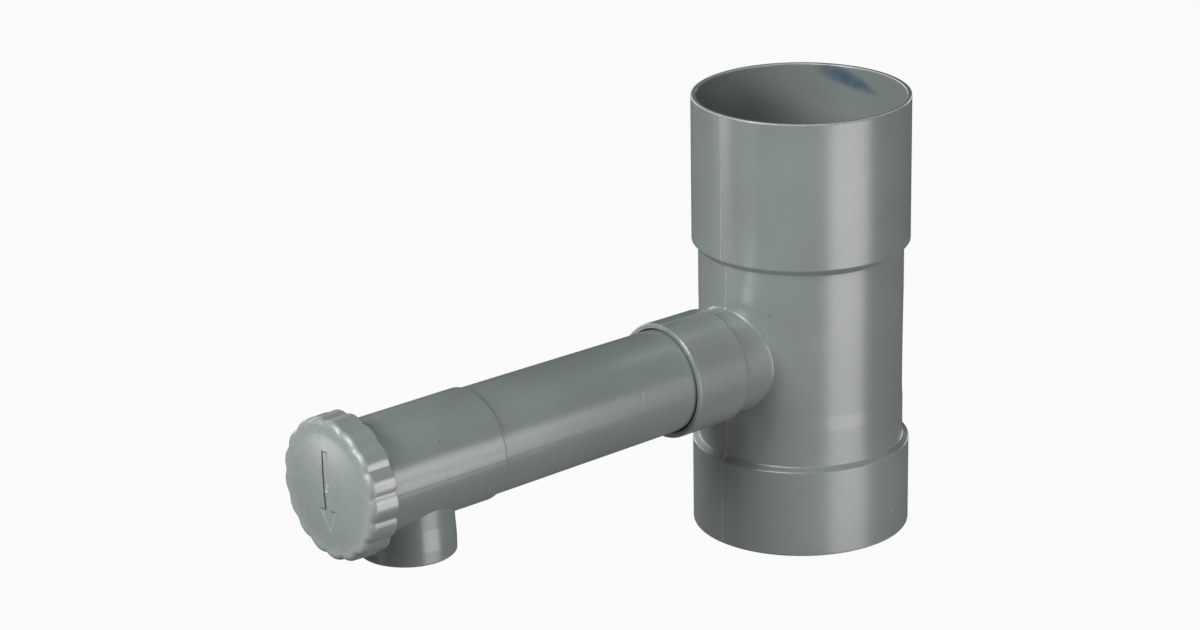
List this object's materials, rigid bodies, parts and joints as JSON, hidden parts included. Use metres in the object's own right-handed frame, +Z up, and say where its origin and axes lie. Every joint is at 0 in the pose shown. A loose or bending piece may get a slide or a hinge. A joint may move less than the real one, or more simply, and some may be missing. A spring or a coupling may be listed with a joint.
{
  "type": "rainwater diverter",
  "caption": "Diverter let into a round downpipe: a ring gutter inside catches the rain, and a side arm with a fluted valve knob and a spout leads it to a water butt",
  "frame": {"origin": "centre of the lower socket's open end, on the downpipe's axis", "axes": "+Z up the downpipe through the upper socket, +X along the arm towards the knob, +Y completes a right-handed frame"},
  "size_m": [0.2741, 0.0844, 0.1736],
  "materials": {
    "body": "satin",
    "arm": "satin",
    "knob": "satin",
    "seal": "matte"
  },
  "bodies": {
    "diverter": {"body": "body", "arm": "arm", "arm_seal": "seal"},
    "valve": {"knob": "knob", "knob_seal": "seal"}
  },
  "joints": [
    {"name": "knob_turn", "type": "hinge", "parent": "diverter", "child": "valve", "pos_m": [0.2, 0, 0.0755], "axis": [1, 0, 0], "range_deg": [-3.4, 176.6]}
  ]
}
